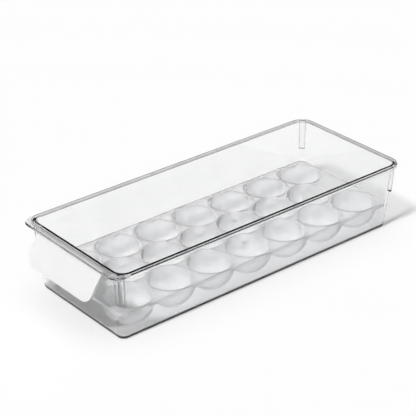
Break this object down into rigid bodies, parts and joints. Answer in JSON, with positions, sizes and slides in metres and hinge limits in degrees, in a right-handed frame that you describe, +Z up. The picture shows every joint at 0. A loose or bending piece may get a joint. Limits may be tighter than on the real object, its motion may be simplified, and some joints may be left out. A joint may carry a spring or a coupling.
{
  "type": "egg holder tray",
  "caption": "Clear bin for keeping eggs, with a lift-out tray of staggered round cups and a white pull handle at the front.",
  "frame": {"origin": "bottom centre of the whole object's bounding box, on the face the bin stands on", "axes": "+Z up, +Y along the bin from the handle to the back, the handle faces -Y"},
  "size_m": [0.15, 0.3795, 0.073],
  "materials": {
    "clear_plastic": "clear, polished",
    "frosted_plastic": "clear, lightly frosted",
    "white_plastic": "satin white"
  },
  "bodies": {
    "bin": {"clear_bin": "clear_plastic", "front_handle": "white_plastic"},
    "tray": {"egg_tray": "frosted_plastic"}
  },
  "joints": [
    {"name": "tray_lift", "type": "slide", "parent": "bin", "child": "tray", "axis": [0, 0, 1], "range_m": [0, 0.075]}
  ]
}
